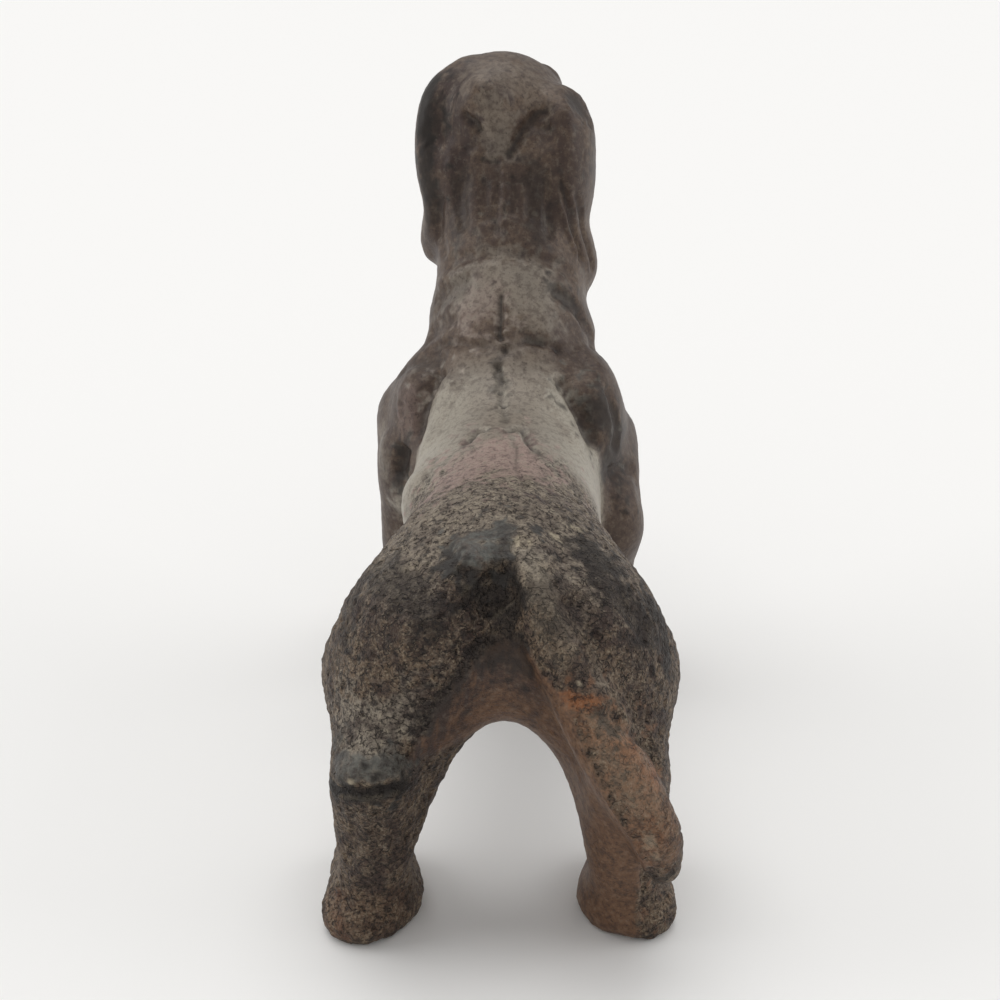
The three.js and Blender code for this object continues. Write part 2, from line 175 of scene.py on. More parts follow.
HEAD_STROKES = {
    "left ear's root": (1.2, 0.75, ((461, 111), (468, 119), (476, 126), (480, 137))),
    "below the left ear's root": (1.0, 0.3, ((480, 137), (474, 146), (462, 150))),
    "right ear's root": (1.3, 0.75, ((554, 106), (538, 113), (529, 123), (520, 135), (511, 150), (502, 162))),
    "branch of the right ear's root": (1.0, 0.35, ((529, 123), (540, 128), (552, 126))),
    "tongue's lower end": (0.9, 0.5, ((478, 158), (490, 161), (502, 162))),
    "left edge of the tongue": (1.4, 0.35, ((474, 112), (484, 135), (490, 156))),
    "left ear's front edge": (1.6, 0.5, ((443, 190), (439, 212), (440, 236), (447, 260))),
    "left ear's upper edge": (1.6, 0.3, ((428, 140), (437, 152), (449, 162))),
    "left streak of the nape": (1.8, 0.5, ((463, 172), (460, 200), (463, 236))),
    "second streak of the nape": (1.4, 0.45, ((486, 170), (484, 200), (486, 226))),
    "left edge of the nape's ridge": (1.3, 0.45, ((497, 166), (498, 188), (495, 214), (498, 240))),
    "right edge of the nape's ridge": (1.3, 0.45, ((512, 170), (514, 192), (512, 220))),
    "fifth streak of the nape": (1.4, 0.6, ((528, 164), (532, 190), (530, 226))),
    "sixth streak of the nape": (1.3, 0.5, ((545, 168), (549, 200), (551, 244))),
    "right ear's inner pleat": (1.2, 0.65, ((557, 172), (566, 200), (575, 234), (584, 270))),
    "right ear's inner ridge": (0.9, -0.4, ((552, 172), (561, 200), (570, 232), (578, 262))),
    "right ear's outer pleat": (1.0, 0.55, ((572, 186), (582, 216), (589, 248), (592, 276))),
    "hood's lower edge, left": (1.6, 0.4, ((445, 264), (460, 259), (480, 257), (505, 255))),
    "hood's lower edge, right": (1.6, 0.45, ((505, 255), (530, 257), (552, 262), (566, 270), (578, 284))),
}
HEAD_SPOTS = {
    "tongue": (4.5, 0.3, (497, 128)),
    "flat beside the crown": (6.0, -0.35, (540, 68)),
    "right ear's root": (5.0, -1.1, (582, 102)),
    "first knob of the nape": (0.9, 0.4, (505, 174)),
    "second knob of the nape": (0.9, 0.35, (505, 188)),
    "third knob of the nape": (0.9, 0.35, (504, 204)),
    "fourth knob of the nape": (1.0, 0.3, (503, 222)),
    "left ear's lobe": (3.0, 0.35, (433, 236)),
}

# The face, which the view doesn't show. Its places are on the head: forward, out and up from its middle, in
# percent of its length. What is in the first two tables is carved on both sides.
FACE_SPOTS = {
    "eye's socket": (2.8, -1.0, (29, 17, 6)),
    "eye": (1.5, 1.1, (28, 18, 6)),
}
FACE_STROKES = {
    "upper lid": (0.9, -0.6, ((23, 20, 7), (26, 20, 10.5), (31, 17.5, 10.5), (34, 15, 7))),
    "lower lid": (0.9, -0.45, ((23, 20.5, 5), (26, 20.5, 2), (31, 18, 2), (34, 15, 5))),
    "brow": (3.2, -0.3, ((14, 15, 17), (22, 16, 17), (31, 13, 15))),
    "nostril": (1.2, 1.0, ((75, 3, -3), (74, 5.5, -3.5), (71, 7.5, -6))),
    "front edge of the ear": (1.8, 0.8, ((10, 28, -4), (9, 28, -16), (5, 28, -30), (1, 30, -42))),
    "lip": (1.4, 1.0, ((72, 1, -14), (69, 8, -22), (62, 14, -30), (50, 17.5, -35), (36, 17, -33))),
    "fold behind the lip": (1.6, 0.5, ((36, 17, -33), (30, 20, -24), (28, 22, -12))),
}
FACE_MIDDLE_STROKES = {
    "nose": (3.6, -0.45, ((75, -2, -1), (75, 2, -1))),
    "parting of the lip": (0.9, 0.7, ((77, 0, -6), (75, 0, -10), (72, 0, -16))),
    "furrow of the brow": (1.6, 0.4, ((16, 0, 17), (27, 0, 11), (38, 0, 3))),
}

# Finishes, some of them painted shade and light: how far each mark spreads from its line, in millimetres, how
# strong it is, and the line of pixels
# Mostly painted shade: dark laid in the creases, folds, clefts and hollows, under the ledges and the worn
# band, between the legs, and on the sides of the head and the backs of the arm and the haunches, which are
# turned from the light. The dark in the parting line and the broken edge is dirt in the casting.
SHADE_AND_SOOT_MARKS = {
    "left rim of the skull": (3.2, 0.95, ((430, 84), (424, 106), (424, 128))),
    "left rim of the ear": (2.2, 0.85, ((428, 150), (425, 172), (428, 192))),
    "left ear": (2.4, 0.5, ((433, 196), (433, 216))),
    "right rim of the head": (2.6, 0.35, ((588, 112), (594, 142), (594, 172))),
    "nape, left": (2.6, 0.45, ((462, 180), (460, 230))),
    "nape, right": (3.0, 0.45, ((536, 176), (540, 236))),
    "left fold under the ear": (1.8, 0.25, ((430, 306), (444, 297), (460, 289))),
    "right fold under the ear": (2.0, 0.7, ((556, 291), (568, 300), (580, 312))),
    "left scapula's top": (2.4, 0.4, ((398, 374), (414, 366), (430, 364))),
    "right upper arm": (4.2, 0.75, ((602, 408), (614, 422), (616, 442), (610, 460))),
    "left cavity of the arm": (1.8, 0.85, ((404, 450), (401, 464), (398, 480))),
    "left half of the broken edge": (0.7, 0.6, ((464, 446), (470, 438), (477, 431), (489, 430))),
    "right half of the broken edge": (0.7, 0.6, ((505, 432), (514, 429), (523, 429), (529, 442), (540, 455))),
    "parting line": (1.0, 0.55, ((498, 362), (501, 384), (505, 424))),
    "hollow under the patch": (3.0, 0.85, ((474, 588), (490, 598), (503, 608))),
    "cleft beside the tail's root": (2.0, 0.85, ((508, 570), (516, 595), (510, 626))),
    "patch's lower edge": (1.1, 0.8, ((446, 552), (462, 572), (484, 577))),
    "patch's right side": (1.2, 0.6, ((506, 528), (502, 548), (498, 566))),
    "top of the arch": (3.4, 0.75, ((488, 650), (508, 642), (524, 664))),
    "left thigh": (3.2, 0.6, ((404, 588), (424, 604), (432, 622))),
    "left thigh's edge": (2.4, 0.45, ((345, 632), (352, 600), (372, 570))),
    "outer end of the right rump": (4.0, 0.85, ((588, 548), (606, 566))),
    "outer end of the left rump": (3.6, 0.5, ((384, 572), (396, 582))),
    "middle of the right haunch": (3.6, 0.4, ((546, 596), (560, 620))),
    "right thigh": (3.4, 0.65, ((606, 580), (628, 606), (648, 630))),
    "right thigh's edge": (3.0, 0.85, ((652, 604), (664, 630), (668, 660))),
    "under the left inner edge": (2.2, 0.6, ((492, 636), (470, 664), (448, 690), (424, 722))),
    "under the worn band": (1.8, 0.95, ((332, 790), (366, 795), (404, 786))),
    "left end of the worn band": (2.0, 0.5, ((334, 752), (334, 778))),
    "notch over the tail": (1.2, 0.85, ((602, 712), (612, 730))),
    "end of the tail": (1.0, 0.6, ((645, 870), (660, 880), (672, 874))),
}
# Partly the darker brown of the patina, and partly painted shade: the sides of the skull, the ears and the
# neck in shade, the backs of the haunches turned from the light, and the arch and the inner faces between the
# legs.
UMBER_AND_SHADE_MARKS = {
    "nape": (7.0, 0.6, ((450, 205), (490, 205), (530, 205), (560, 205))),
    "left side of the skull": (6.0, 0.95, ((446, 92), (450, 120), (450, 150))),
    "right side of the skull": (5.5, 0.7, ((565, 130), (575, 175))),
    "right ear": (2.6, 0.3, ((582, 215), (588, 270))),
    "left ear": (2.6, 0.6, ((432, 205), (434, 245))),
    "right of the neck": (3.0, 0.5, ((576, 300), (588, 330))),
    "left haunch": (6.5, 0.7, ((380, 605), (430, 600))),
    "upper right of the rump": (5.0, 0.5, ((568, 508), (592, 532))),
    "arch": (5.0, 0.7, ((500, 674), (530, 690))),
    "right haunch": (7.0, 0.75, ((596, 590), (645, 630))),
    "between the haunches": (4.0, 0.4, ((536, 520), (560, 560), (580, 600))),
    "inner side of the left haunch": (4.5, 0.5, ((470, 610), (440, 650))),
    "lower right haunch": (5.0, 0.5, ((640, 680), (655, 720))),
    "left shank": (5.5, 0.6, ((345, 810), (380, 830), (375, 870))),
    "inner face of the left leg": (5.0, 0.9, ((470, 676), (440, 712), (424, 760))),
}
POLISH_MARKS = {
    "upper part of the patch": (3.1, 0.95, ((460, 543), (480, 539), (500, 533))),
    "lower part of the patch": (2.8, 0.95, ((464, 553), (476, 556), (490, 552))),
    "band over the left hock": (2.4, 0.85, ((340, 767), (370, 770), (400, 765))),
}
RUST_MARKS = {
    "left corner of the tail": (1.6, 0.8, ((574, 700), (590, 706), (600, 712))),
    "along the tail": (3.6, 0.5, ((600, 726), (624, 748), (650, 766))),
    "lower tail": (3.0, 0.3, ((640, 785), (654, 836))),
    "left paw": (2.2, 0.2, ((331, 900), (334, 930))),
}
LEATHER_MARKS = {
    "tail": (3.4, 0.75, ((586, 710), (612, 748), (636, 796), (652, 846))),
    "right side of the tail": (3.4, 0.75, ((630, 742), (654, 776), (668, 820), (668, 856))),
    "back of the right shank": (4.5, 0.95, ((596, 860), (604, 880), (604, 920))),
    "left paw": (5.0, 0.3, ((350, 915), (390, 910))),
}
# Rubbed grey iron, and painted light: on the ribs and the elbow it also stands for the side light and the
# sheen that fall on them
RUBBED_AND_LIT_MARKS = {
    "top of the head": (5.5, 0.16, ((455, 88), (485, 72), (525, 80))),
    "tongue": (4.0, 0.25, ((490, 110), (498, 145))),
    "neck": (6.5, 0.42, ((470, 290), (500, 280), (535, 290))),
    "left ribs": (3.6, 0.85, ((440, 404), (432, 436), (420, 470), (408, 505))),
    "right ribs": (3.6, 0.95, ((560, 404), (574, 434), (586, 464), (596, 490))),
    "left elbow": (2.2, 0.35, ((384, 430), (384, 470))),
    "right of the parting line": (4.0, 0.3, ((540, 318), (522, 300))),
    "gaskin": (5.0, 0.55, ((350, 722), (372, 735), (400, 722))),
    "tail's root": (2.6, 0.25, ((524, 556), (534, 590))),
}
BLUSH_MARKS = {
    "loin": (6.5, 0.85, ((458, 476), (476, 462), (500, 452), (520, 466))),
    "left of the parting line": (4.0, 0.25, ((470, 314), (484, 300))),
    "left arm": (2.8, 0.35, ((409, 404), (408, 422))),
}
# Painted glints: the bright specks where the rump's grit and the worn band catch the light, and the light
# along the tail's left corner and its pale side. The flecks at the end and the tip of the tail are iron worn
# through.
FLECK_AND_GLINT_MARKS = {
    "beside the step": (0.5, 1.0, ((517, 536), (517, 545))),
    "right of the step": (0.5, 0.9, ((530, 541), (529, 550))),
    "upper right rump": (0.5, 0.9, ((554, 535), (557, 536))),
    "far right rump": (0.4, 0.8, ((575, 528), (578, 529))),
    "on the tail's root": (0.45, 0.7, ((541, 590), (542, 592))),
    "tail's left corner": (0.5, 0.8, ((578, 683), (580, 685))),
    "worn band, left": (0.35, 0.8, ((350, 783), (352, 783))),
    "worn band, middle": (0.35, 0.8, ((366, 785), (368, 785))),
    "worn band, right": (0.35, 0.7, ((384, 783), (386, 783))),
    "end of the tail": (0.45, 0.4, ((652, 838), (655, 846))),
    "tip of the tail": (0.45, 0.35, ((656, 856), (658, 860))),
    "pale side of the tail": (4.0, 0.14, ((604, 735), (625, 765), (645, 800))),
}
FINISH_MARKS = {
    "shade_and_soot": SHADE_AND_SOOT_MARKS,
    "umber_and_shade": UMBER_AND_SHADE_MARKS,
    "polish": POLISH_MARKS,
    "rust": RUST_MARKS,
    "leather": LEATHER_MARKS,
    "rubbed_and_lit": RUBBED_AND_LIT_MARKS,
    "blush": BLUSH_MARKS,
    "fleck_and_glint": FLECK_AND_GLINT_MARKS,
}

# The steps at the inner faces of the hind legs, in millimetres: their height, how far they fade, and how wide
# their slope is
STEP_RISE = 0.5
LEFT_STEP_FADE = 2.6
RIGHT_STEP_FADE = 2.4
STEP_SLOPE = 0.35

# The share of a stroke over which each end runs out, the share of a mark over which it fades, and how uneven
# the edges of strokes and of marks are
RUN_OUT = 0.15
SOFT_SHARE = 0.6
STROKE_TEAR = 0.15
MARK_TEAR = 0.9

# The casting's unevenness: how large the lumps of each pattern are, in millimetres, and where it is read
TEAR, TEAR_PLACE = 1.6, 60.0
SMALL_TEAR, SMALL_TEAR_PLACE = 0.8, 63.0
LUMP, LUMP_PLACE = 1.6, 0.0
GRAVEL, GRAVEL_PLACE = 0.75, 7.0
WAVE, WAVE_PLACE = 5.5, 3.0
PIT, PIT_PLACE = 1.1, 21.0
BORDER, BORDER_PLACE = 4.0, 40.0

# The grit's lumps and pits, against its gravel, and the random heights between which a pit opens
LUMP_SHARE = 0.6
PIT_SHARE = 1.4
PIT_OPENS = (0.3, 0.6)

# The lumps and the waves of the skin that has no grit, and how far borders of finishes wander, in millimetres
BARE_LUMPS = 0.04
WAVES = 0.1
BORDER_WANDER = 3.0

# Places on the casting between which a finish fades in, in millimetres: heights on the sides and the flanks,
# places along the inner faces of the hind legs, and heights on the arms
BACK_TO_SIDES = (47, 34)
BELLY_TO_FLANKS = (23, 40)
INNER_FACES = (-24, -32)
ARMS_TO_LEGS = (26, 22)

# How much of the grit each smooth finish hides, and how smooth and how brown the inner faces are
SMOOTH_FINISHES = {"polish": 0.9, "leather": 0.6, "blush": 0.8}
INNER_SMOOTHNESS = 0.85
INNER_LEATHER = 0.95

# Rounds of averaging that find the edges, the level places and the hollows of the casting
EDGE_ROUNDS = 3
LEVEL_ROUNDS = 12
HOLLOW_ROUNDS = 24

# Between which values a place comes to count as level, hollow, carved in, an edge, and raised
LEVEL = (0.4, 0.9)
HOLLOW = (0.08, 0.6)
CARVED_IN = (0.2, 1.1)
EDGE = (0.01, 0.09)
RAISED = (0.15, 0.6)

# Patterns in the finish, in millimetres: patches and blotches of the patina, its mottle, streaks down the
# casting, and the plates of cracked grit, with how far their cracks wander
PATINA_PATCH = 7.0
BLOTCH = 2.6
MOTTLE = 0.9
STREAK = 1.1
EVEN = (1, 1, 1)
STREAK_STRETCH = (1, 1, 0.16)
PLATE = 1.3
PLATE_STRETCH = (1, 1.7, 1.4)
CRACK_BEND = 1.2
CRACK_WANDER = 1.6
GRAINS_TO_A_PIT = 1.3

# What is read off a finish or a pattern: the values between which it fades, and how much it is at each
FADES = {
    "patina patches": ("patches", 0.42, 0.62, 0.0, 0.5),
    "rubbed mottle": ("mottle", 0.2, 0.42, 0.0, 1.0),
    "blush mottle": ("mottle", 0.3, 0.5, 0.0, 1.0),
    "dark blotches": ("blotches", 0.46, 0.6, 0.0, 0.75),
    "umber streaks": ("streaks", 0.3, 0.55, 0.0, 1.0),
    "rust blotches": ("blotches", 0.3, 0.55, 0.0, 1.0),
    "polish streaks": ("streaks", 0.2, 0.5, 0.0, 1.0),
    "dark mottle": ("mottle", 0.46, 0.62, 0.0, 0.6),
    "grey mottle": ("mottle", 0.46, 0.34, 0.0, 0.12),
    "pale blotches": ("blotches", 0.6, 0.46, 0.0, 1.0),
    "pale grains": ("grains", 0.5, 0.64, 0.0, 0.3),
    "open pits": ("pits", 0.5, 0.64, 0.0, 0.6),
    "deep pits": ("pits", 0.6, 0.7, 0.0, 0.5),
    "cracks": ("plate edges", 0.1, 0.02, 0.0, 1.0),
    "cracked places": ("mottle", 0.44, 0.54, 0.0, 1.0),
    "not worn level": ("worn", 0.0, 1.0, 1.0, 0.35),
    "not rubbed": ("rubbed_and_lit", 0.0, 1.0, 1.0, 0.5),
    "dullness": ("grit", 0.0, 1.0, 0.46, 0.58),
}

# What covers the iron: the most of it that there is, and what it is the product of. The last is for relief.
COVERS = {
    "sandy grit": (0.85, ("grit",)),
    "rubbed iron": (1.0, ("rubbed_and_lit", "rubbed mottle")),
    # The worn share is where the grit faces up: partly grit worn flat, and partly painted light from above,
    # paler there. Where it faces elsewhere its dark blotches and open pits are stronger: painted shade.
    "grey level grit": (0.4, ("worn", "grit")),
    "pinkish loin": (1.0, ("blush", "blush mottle")),
    "dark grit": (1.0, ("grit", "not worn level", "dark blotches")),
    "streaked umber": (1.0, ("umber_and_shade", "umber streaks")),
    "blotched rust": (1.0, ("rust", "rust blotches")),
    "streaked polish": (1.0, ("polish", "polish streaks")),
    "dark specks": (1.0, ("not rubbed", "dark mottle")),
    "pale grit": (1.0, ("grit", "pale blotches", "pale grains")),
    "pitted grit": (1.0, ("grit", "not worn level", "open pits")),
    "cracked grit": (1.0, ("cracks", "cracked places", "grit")),
    "dirty cracks": (0.7, ("cracked grit",)),
    "dirty pits": (1.0, ("not rubbed", "deep pits")),
    "worn grains": (0.12, ("grit", "wear")),
    "pale flecks": (0.8, ("fleck_and_glint",)),
    "grainy grit": (1.0, ("pits", "grit")),
}

# Layers of colour over the brown iron, from the lowest up: the iron's broad finishes with the painted light
# of the flanks and the tops of the grit, then the marks and the mottle, and last the pits, the cracks, the
# dirt, the painted shade and the painted glints
LAYERS = (
    ("patina patches", "umber_and_shade"),
    ("sandy grit", "sand"),
    ("rubbed iron", "rubbed_and_lit"),
    ("grey level grit", "rubbed_and_lit"),
    ("pinkish loin", "blush"),
    ("dark grit", "umber_and_shade"),
    ("leather", "leather"),
    ("streaked umber", "umber_and_shade"),
    ("blotched rust", "rust"),
    ("streaked polish", "polish"),
    ("dark specks", "umber_and_shade"),
    ("grey mottle", "rubbed_and_lit"),
    ("pale grit", "fleck_and_glint"),
    ("pitted grit", "shade_and_soot"),
    ("dirty cracks", "shade_and_soot"),
    ("shade_and_soot", "shade_and_soot"),
    ("dirty pits", "shade_and_soot"),
    ("worn grains", "fleck_and_glint"),
    ("pale flecks", "fleck_and_glint"),
)

# Relief that the mesh is too coarse for: its strength, its depth in millimetres, and whether it is sunk
RELIEF = {
    "mottle": (0.6, 0.12, False),
    "cracked grit": (0.8, 0.25, True),
    "grainy grit": (1.0, 0.4, True),
}

# The colour sockets of a Mix node, whose names its other sockets have too
MIX_BELOW, MIX_ABOVE, MIX_RESULT = 6, 7, 2

# How close points of the plain solid are welded, in millimetres, how often its facets are smoothed, and the
# height in millimetres under which the finished soles are flat
WELD = 0.005
SMOOTHING_ROUNDS = 3
SOLE = 0.15

# The studio's lamps: where each shines from, how many degrees wide it is, and its power. The room is dimmer
# to the hound than to the camera.
LAMPS = {
    "overhead": ((-0.1, 0.35, 1), 50, 1.1),
    "left": ((-1, 0.1, 0.45), 40, 0.7),
    "right": ((1, 0.1, 0.45), 40, 0.6),
}
ROOM_LIGHT = 0.55
ROOM_AS_SEEN = 0.93


def linear(code):
    """An sRGB hex colour as linear red, green and blue."""
    shares = [int(code[i : i + 2], 16) / 255 for i in (0, 2, 4)]
    return [s / 12.92 if s <= 0.04045 else ((s + 0.055) / 1.055) ** 2.4 for s in shares]


class HoundSizes(bpy.types.PropertyGroup):
    """Sizes of the casting's skin"""

    mesh_step: FloatProperty(
        name="Mesh step",
        description="Length of an edge of the carved mesh",
        default=0.36 * MM,
        min=0.3 * MM,
        max=1.0 * MM,
        unit="LENGTH",
    )
    triangles: IntProperty(
        name="Triangles",
        description="Most triangles that the finished casting has",
        default=190000,
        min=20000,
        max=199000,
    )
    grit_depth: FloatProperty(
        name="Grit depth",
        description="How far the sand-cast grit of the hindquarters stands up and down",
        default=0.16 * MM,
        min=0.0,
        max=0.5 * MM,
        unit="LENGTH",
    )
    grain: FloatProperty(
        name="Sand grain",
        description="Width of a grain of the moulding sand",
        default=0.32 * MM,
        min=0.1 * MM,
        max=1.0 * MM,
        unit="LENGTH",
    )
    floor_width: FloatProperty(
        name="Floor width",
        description="Width of the pale floor",
        default=8.0,
        min=1.0,
        unit="LENGTH",
    )


class HoundColours(bpy.types.PropertyGroup):
    """Colours of the casting's finish, of its painted shade and light, and of the floor"""

    brown: FloatVectorProperty(
        name="Brown iron",
        description="Old brown iron, the colour under everything else",
        subtype="COLOR",
        default=linear("5f4f42"),
    )
    # Also the colour of the painted side light and sheen on the flanks, and of the painted light on the tops
    # of the grit
    rubbed_and_lit: FloatVectorProperty(
        name="Rubbed iron",
        description="Grey iron where hands have rubbed the flanks and the back",
        subtype="COLOR",
        default=linear("a39c8f"),
    )
    blush: FloatVectorProperty(
        name="Blush",
        description="Pinkish brown over the loin and the neck",
        subtype="COLOR",
        default=linear("a48d84"),
    )
    sand: FloatVectorProperty(
        name="Sand",
        description="Greyish brown of the sand-cast grit",
        subtype="COLOR",
        default=linear("6c5a48"),
    )
    # Also the colour of the painted shade on the sides of the head, the backs of the haunches and between the
    # legs
    umber_and_shade: FloatVectorProperty(
        name="Umber",
        description="Darker brown of the nape, the ears and the haunches",
        subtype="COLOR",
        default=linear("3b2e2a"),
    )
    # Near-black of the dirt in the pits and the cracks, and of the painted shade in the hollows and under the
    # ledges
    shade_and_soot: FloatVectorProperty(
        name="Soot",
        description="Near-black dirt in the hollows and the pits",
        subtype="COLOR",
        default=linear("241f1c"),
    )
    leather: FloatVectorProperty(
        name="Smooth brown",
        description="Smooth warm brown of the inner faces",
        subtype="COLOR",
        default=linear("6c4f3a"),
    )
    polish: FloatVectorProperty(
        name="Worn blue-grey",
        description="Blue-grey of the worn patches on the rump and the hock",
        subtype="COLOR",
        default=linear("535450"),
    )
    rust: FloatVectorProperty(
        name="Rust",
        description="Orange rust on the tail",
        subtype="COLOR",
        default=linear("8a5530"),
    )
    # Also the colour of the painted glints on the grit, the worn band and the tail
    fleck_and_glint: FloatVectorProperty(
        name="Fleck",
        description="Pale flecks and worn edges of the grit",
        subtype="COLOR",
        default=linear("b3a68f"),
    )
    floor: FloatVectorProperty(
        name="Floor",
        description="Pale matt floor",
        subtype="COLOR",
        default=linear("f4f3f1"),
    )


def sightline(x, y):
    """The direction in which the studio view sees the pixel at x, y."""
    across = Vector((math.cos(VIEW_YAW), math.sin(VIEW_YAW), 0))
    level = Vector((-math.sin(VIEW_YAW), math.cos(VIEW_YAW), 0))
    ahead = level * math.cos(VIEW_PITCH) - Vector((0, 0, math.sin(VIEW_PITCH)))
    focal = VIEW_WIDTH * LENS / SENSOR_WIDTH
    middle = VIEW_WIDTH / 2
    return (ahead * focal + across * (x - middle) + across.cross(ahead) * (middle - y)).normalized()


def head_spot(forward, out, up):
    """A place on the head: forward, out to the right and up from its middle, in percent of its length."""
    spot = Vector((out, forward, up)) * HEAD_LENGTH / 100
    spot.rotate(HEAD_TURN)
    return HEAD_MIDDLE + spot


def smooth_step(low, high, value):
    """0 below low, 1 above high, and a smooth run between them."""
    share = np.clip((value - low) / (high - low), 0, 1)
    return share * share * (3 - 2 * share)


def dots(these, those):
    """The dot product of each vector of a list with that of the other list."""
    return np.einsum("ij,ij->i", these, those)


def inside_ends(share):
    """1 along a stroke and a smooth run to 0 at its ends, for places a share of the way along it."""
    return smooth_step(0, RUN_OUT, share) * smooth_step(0, RUN_OUT, 1 - share)


class Skin:
    """The casting's skin while it is carved: its points and the way each faces, in millimetres."""

    def __init__(self, mesh):
        self.mesh = mesh
        self.points = np.zeros(len(mesh.vertices) * 3)
        mesh.vertices.foreach_get("co", self.points)
        self.points = self.points.reshape(-1, 3) / MM
        edges = np.zeros(len(mesh.edges) * 2, int)
        mesh.edges.foreach_get("vertices", edges)
        self.edges = edges.reshape(-1, 2)
        self.valence = np.bincount(self.edges.ravel(), minlength=len(self.points)).astype(float)
        faces = [tuple(face.vertices) for face in mesh.polygons]
        self.tree = BVHTree.FromPolygons([Vector(point) for point in self.points], faces)
        self.moved = np.zeros(len(self.points))
        self.ragged = lumpiness(self.points, TEAR, TEAR_PLACE)
        self.ragged += lumpiness(self.points, SMALL_TEAR, SMALL_TEAR_PLACE)
        self.look_again()

    def look_again(self):
        """Writes the points to the mesh and finds again which way each one faces."""
        self.mesh.vertices.foreach_set("co", (self.points * MM).ravel())
        self.mesh.update()
        facing = np.zeros(len(self.points) * 3)
        self.mesh.vertex_normals.foreach_get("vector", facing)
        self.facing = facing.reshape(-1, 3)

    def averaged(self, values, rounds):
        """Values on the points, each averaged with its neighbours for some rounds."""
        values = np.array(values, float)
        flat = values.ndim == 1
        values = values.reshape(len(self.points), -1)
        for _ in range(rounds):
            total = np.zeros_like(values)
            for column in range(values.shape[1]):
                for here, there in (self.edges.T, self.edges.T[::-1]):
                    total[:, column] += np.bincount(here, values[there, column], len(values))
            values = (values + total / self.valence[:, None]) / 2
        return values[:, 0] if flat else values

    def seen(self, x, y):
        """The place on the casting that the studio view shows at x, y."""
        for step in range(0, SEARCH_REACH, SEARCH_STEP):
            inward = step if x < VIEW_WIDTH / 2 else -step
            place, _, _, _ = self.tree.ray_cast(VIEW_PLACE, sightline(x + inward, y))
            if place is not None:
                return place
        raise RuntimeError(f"The view shows no casting at {x}, {y}")

    def on_skin(self, spot):
        """The place on the casting nearest to a spot."""
        return self.tree.find_nearest(spot)[0]

    def seen_line(self, line):
        """The places on the casting that the studio view shows along a line of pixels."""
        return [self.seen(x, y) for x, y in line]

    def along(self, line, reach, torn=STROKE_TEAR):
        """The points within reach of a line: which they are, how far off, how far along it, and on which
        side. Torn is how uneven the reach is. A single spot is taken as a line too short to matter."""
        line = np.array([tuple(spot) for spot in line], float)
        if len(line) == 1:
            line = np.vstack([line, line + 1e-4])
        low, high = line.min(0) - reach, line.max(0) + reach
        near = np.where(((self.points > low - reach) & (self.points < high + reach)).all(1))[0]
        points, facing = self.points[near], self.facing[near]
        best = np.full(len(near), np.inf)
        share, side = np.zeros(len(near)), np.zeros(len(near))
        for n in range(len(line) - 1):
            step = line[n + 1] - line[n]
            offset = points - line[n]
            t = np.clip(offset @ step / (step @ step), 0, 1)
            off = offset - t[:, None] * step
            distance = np.linalg.norm(off, axis=1)
            closer = distance < best
            best[closer] = distance[closer]
            share[closer] = (n + t[closer]) / (len(line) - 1)
            side[closer] = dots(np.cross(facing, step), off)[closer]
        best = best * (1 + torn * self.ragged[near])
        inside = best < reach
        return near[inside], best[inside], share[inside], np.sign(side[inside])

    def push(self, which, depth):
        """Moves points out along the way they face, by depth, and remembers it."""
        self.points[which] += self.facing[which] * depth[:, None]
        self.moved[which] += depth

    def groove(self, line, width, depth):
        """A groove along a line, or a ridge where its depth is less than nothing. It runs out at its ends."""
        which, distance, share, _ = self.along(line, width)
        self.push(which, -depth * (1 - (distance / width) ** 2) ** 2 * inside_ends(share))

    def swell(self, spot, radius, height):
        """A round swelling about a spot, or a hollow where its height is less than nothing."""
        which, distance, _, _ = self.along([spot], radius)
        self.push(which, height * (1 - (distance / radius) ** 2) ** 2)

    def ledge(self, line, rise, spread):
        """A step along a line: proud on the line's right as one walks along it outside the casting, and sunk
        on its left, fading over spread."""
        which, distance, share, side = self.along(line, spread)
        fade = (1 - distance / spread) ** 2 * inside_ends(share)
        self.push(which, rise / 2 * np.clip(side * distance / STEP_SLOPE, -1, 1) * fade)

    def spread_on(self, line, radius):
        """How much of each point a finish laid along a line covers."""
        cover = np.zeros(len(self.points))
        which, distance, _, _ = self.along(line, radius, MARK_TEAR)
        cover[which] = 1 - smooth_step(radius * (1 - SOFT_SHARE), radius, distance)
        return cover


def lumpiness(points, size, place):
    """A smooth random height for each point, about -1 to 1, with lumps of that size. Each place gives
    other lumps."""
    shift = Vector((place, -place, place / 2))
    return np.array([noise.noise(Vector(point) / size + shift) for point in points])


def add_object(name, data):
    """Adds an object to the scene."""
    made = bpy.data.objects.new(name, data)
    bpy.context.scene.collection.objects.link(made)
    return made


def as_shown(thing):
    """A new mesh of an object as its modifiers leave it."""
    return bpy.data.meshes.new_from_object(thing.evaluated_get(bpy.context.evaluated_depsgraph_get()))


def bare_casting(step):
    """A fine, even mesh of the plain solid, its facets rounded off."""
    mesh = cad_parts["hound"].data.copy()
    work = bmesh.new()
    work.from_mesh(mesh)
    bmesh.ops.remove_doubles(work, verts=work.verts, dist=WELD * MM)
    work.to_mesh(mesh)
    work.free()
    rough = add_object("rough_hound", mesh)
    rounded = rough.modifiers.new("Rounded facets", "SUBSURF")
    rounded.levels = rounded.render_levels = 1
    even = rough.modifiers.new("Even mesh", "REMESH")
    even.mode = "VOXEL"
    even.voxel_size = step
    casting_mesh = as_shown(rough)
    bpy.data.objects.remove(rough)
    casting_mesh.name = "cast_hound"
    casting_mesh.materials.clear()
    return add_object("cast_hound", casting_mesh)


